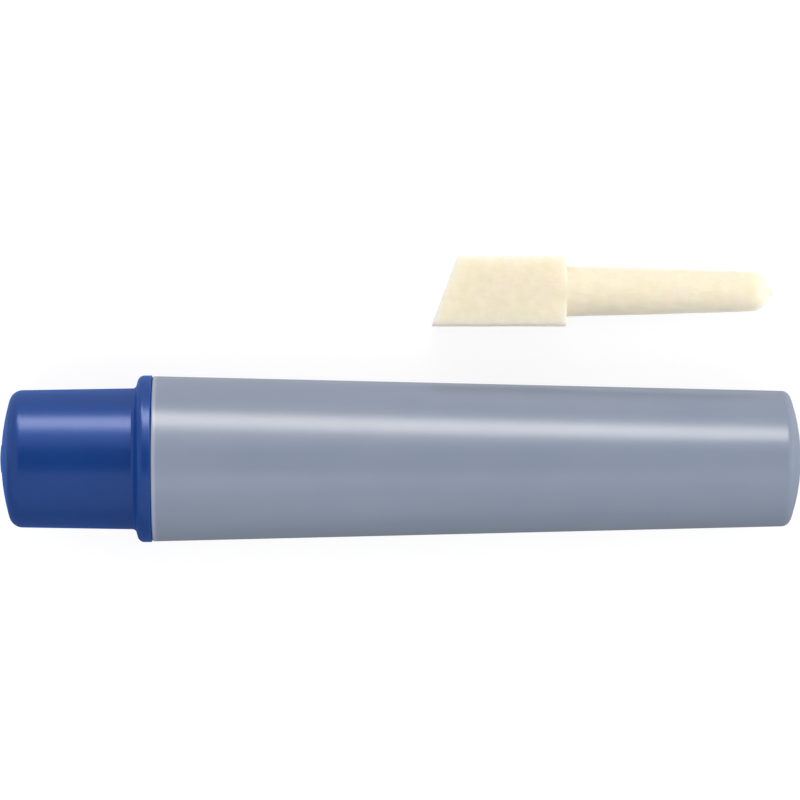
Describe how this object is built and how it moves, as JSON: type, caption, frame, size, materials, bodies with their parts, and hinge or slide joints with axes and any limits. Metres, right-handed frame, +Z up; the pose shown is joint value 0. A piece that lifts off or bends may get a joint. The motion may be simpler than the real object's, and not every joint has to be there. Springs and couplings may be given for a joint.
{
  "type": "marking pen refill",
  "caption": "Refill for a fabric marking pen: tapered ink cartridge closed by a flanged push-on cap, with a loose chisel nib beside it.",
  "frame": {"origin": "centre of the set's bounding box in plan, on the surface that the set lies on", "axes": "+X from the cartridge's cap towards its tail, +Y from the cartridge towards the loose nib, +Z up"},
  "size_m": [0.0682, 0.0244, 0.0142],
  "materials": {
    "barrel_plastic": "semi-gloss, grey-blue moulded plastic",
    "collar_plastic": "satin, off-white moulded plastic",
    "ink_fibre": "ink-soaked fibre",
    "film": "thin plastic film",
    "cap_plastic": "glossy, blue moulded plastic",
    "nib_fibre": "pressed fibre, cream"
  },
  "bodies": {
    "cartridge": {"barrel": "barrel_plastic", "neck_collar": "collar_plastic", "reservoir_core": "ink_fibre", "reservoir_film": "film"},
    "cap": {"cap": "cap_plastic"},
    "nib": {"spare_nib": "nib_fibre"}
  },
  "joints": [
    {"name": "cap_pull", "type": "slide", "parent": "cartridge", "child": "cap", "axis": [-0.9997, 0, 0.0243], "range_m": [0, 0.04]},
    {"name": "nib_slide", "type": "slide", "parent": "cartridge", "child": "nib", "axis": [0, 1, 0], "range_m": [0, 0.03]}
  ]
}
